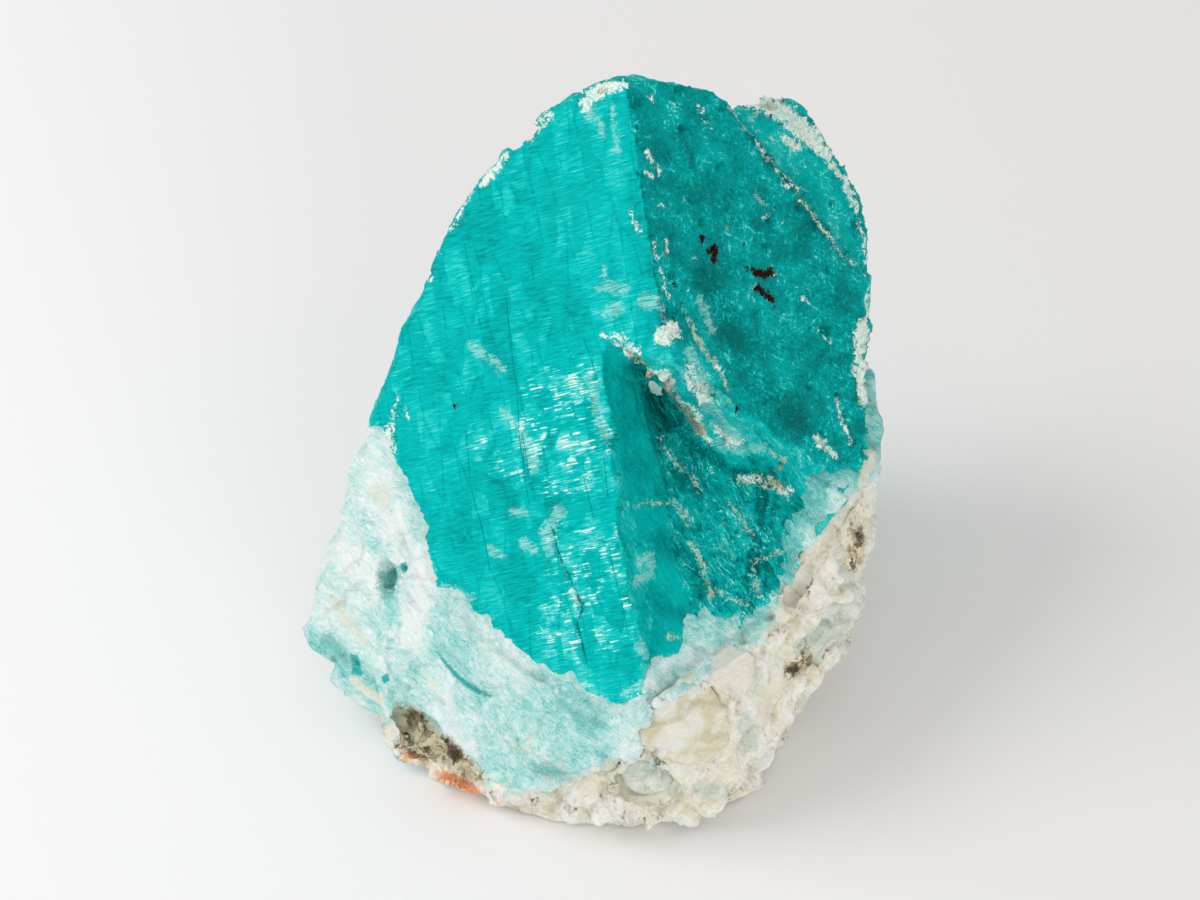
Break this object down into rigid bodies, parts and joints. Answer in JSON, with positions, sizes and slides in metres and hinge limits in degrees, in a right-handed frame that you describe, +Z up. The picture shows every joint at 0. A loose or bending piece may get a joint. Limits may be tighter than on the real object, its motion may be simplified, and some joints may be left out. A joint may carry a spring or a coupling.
{
  "type": "amazonite crystal specimen",
  "caption": "Blocky turquoise amazonite crystal with a chisel-like ridge and a splintered hollow, rooted in pale feldspar with quartz grains, resting on its broken base.",
  "frame": {"origin": "on the flat broken face underneath, below the middle of the specimen; the face is at z = 0", "axes": "+X to the right and +Y away, for a viewer in front of the two large crystal faces; +Z up"},
  "size_m": [0.0405, 0.0377, 0.0433],
  "materials": {
    "amazonite": "vitreous cleavage faces with fine pale streaks, slightly translucent at thin edges",
    "feldspar": "dull, crumbly, pale blue-green to cream, with brown and orange iron stains near the base",
    "quartz": "glassy, cloudy, yellowish to green-grey"
  },
  "bodies": {
    "root": {"amazonite_crystal": "amazonite", "feldspar_matrix": "feldspar", "quartz_grain_front": "quartz", "quartz_grain_low": "quartz", "quartz_grain_right": "quartz"}
  },
  "joints": []
}
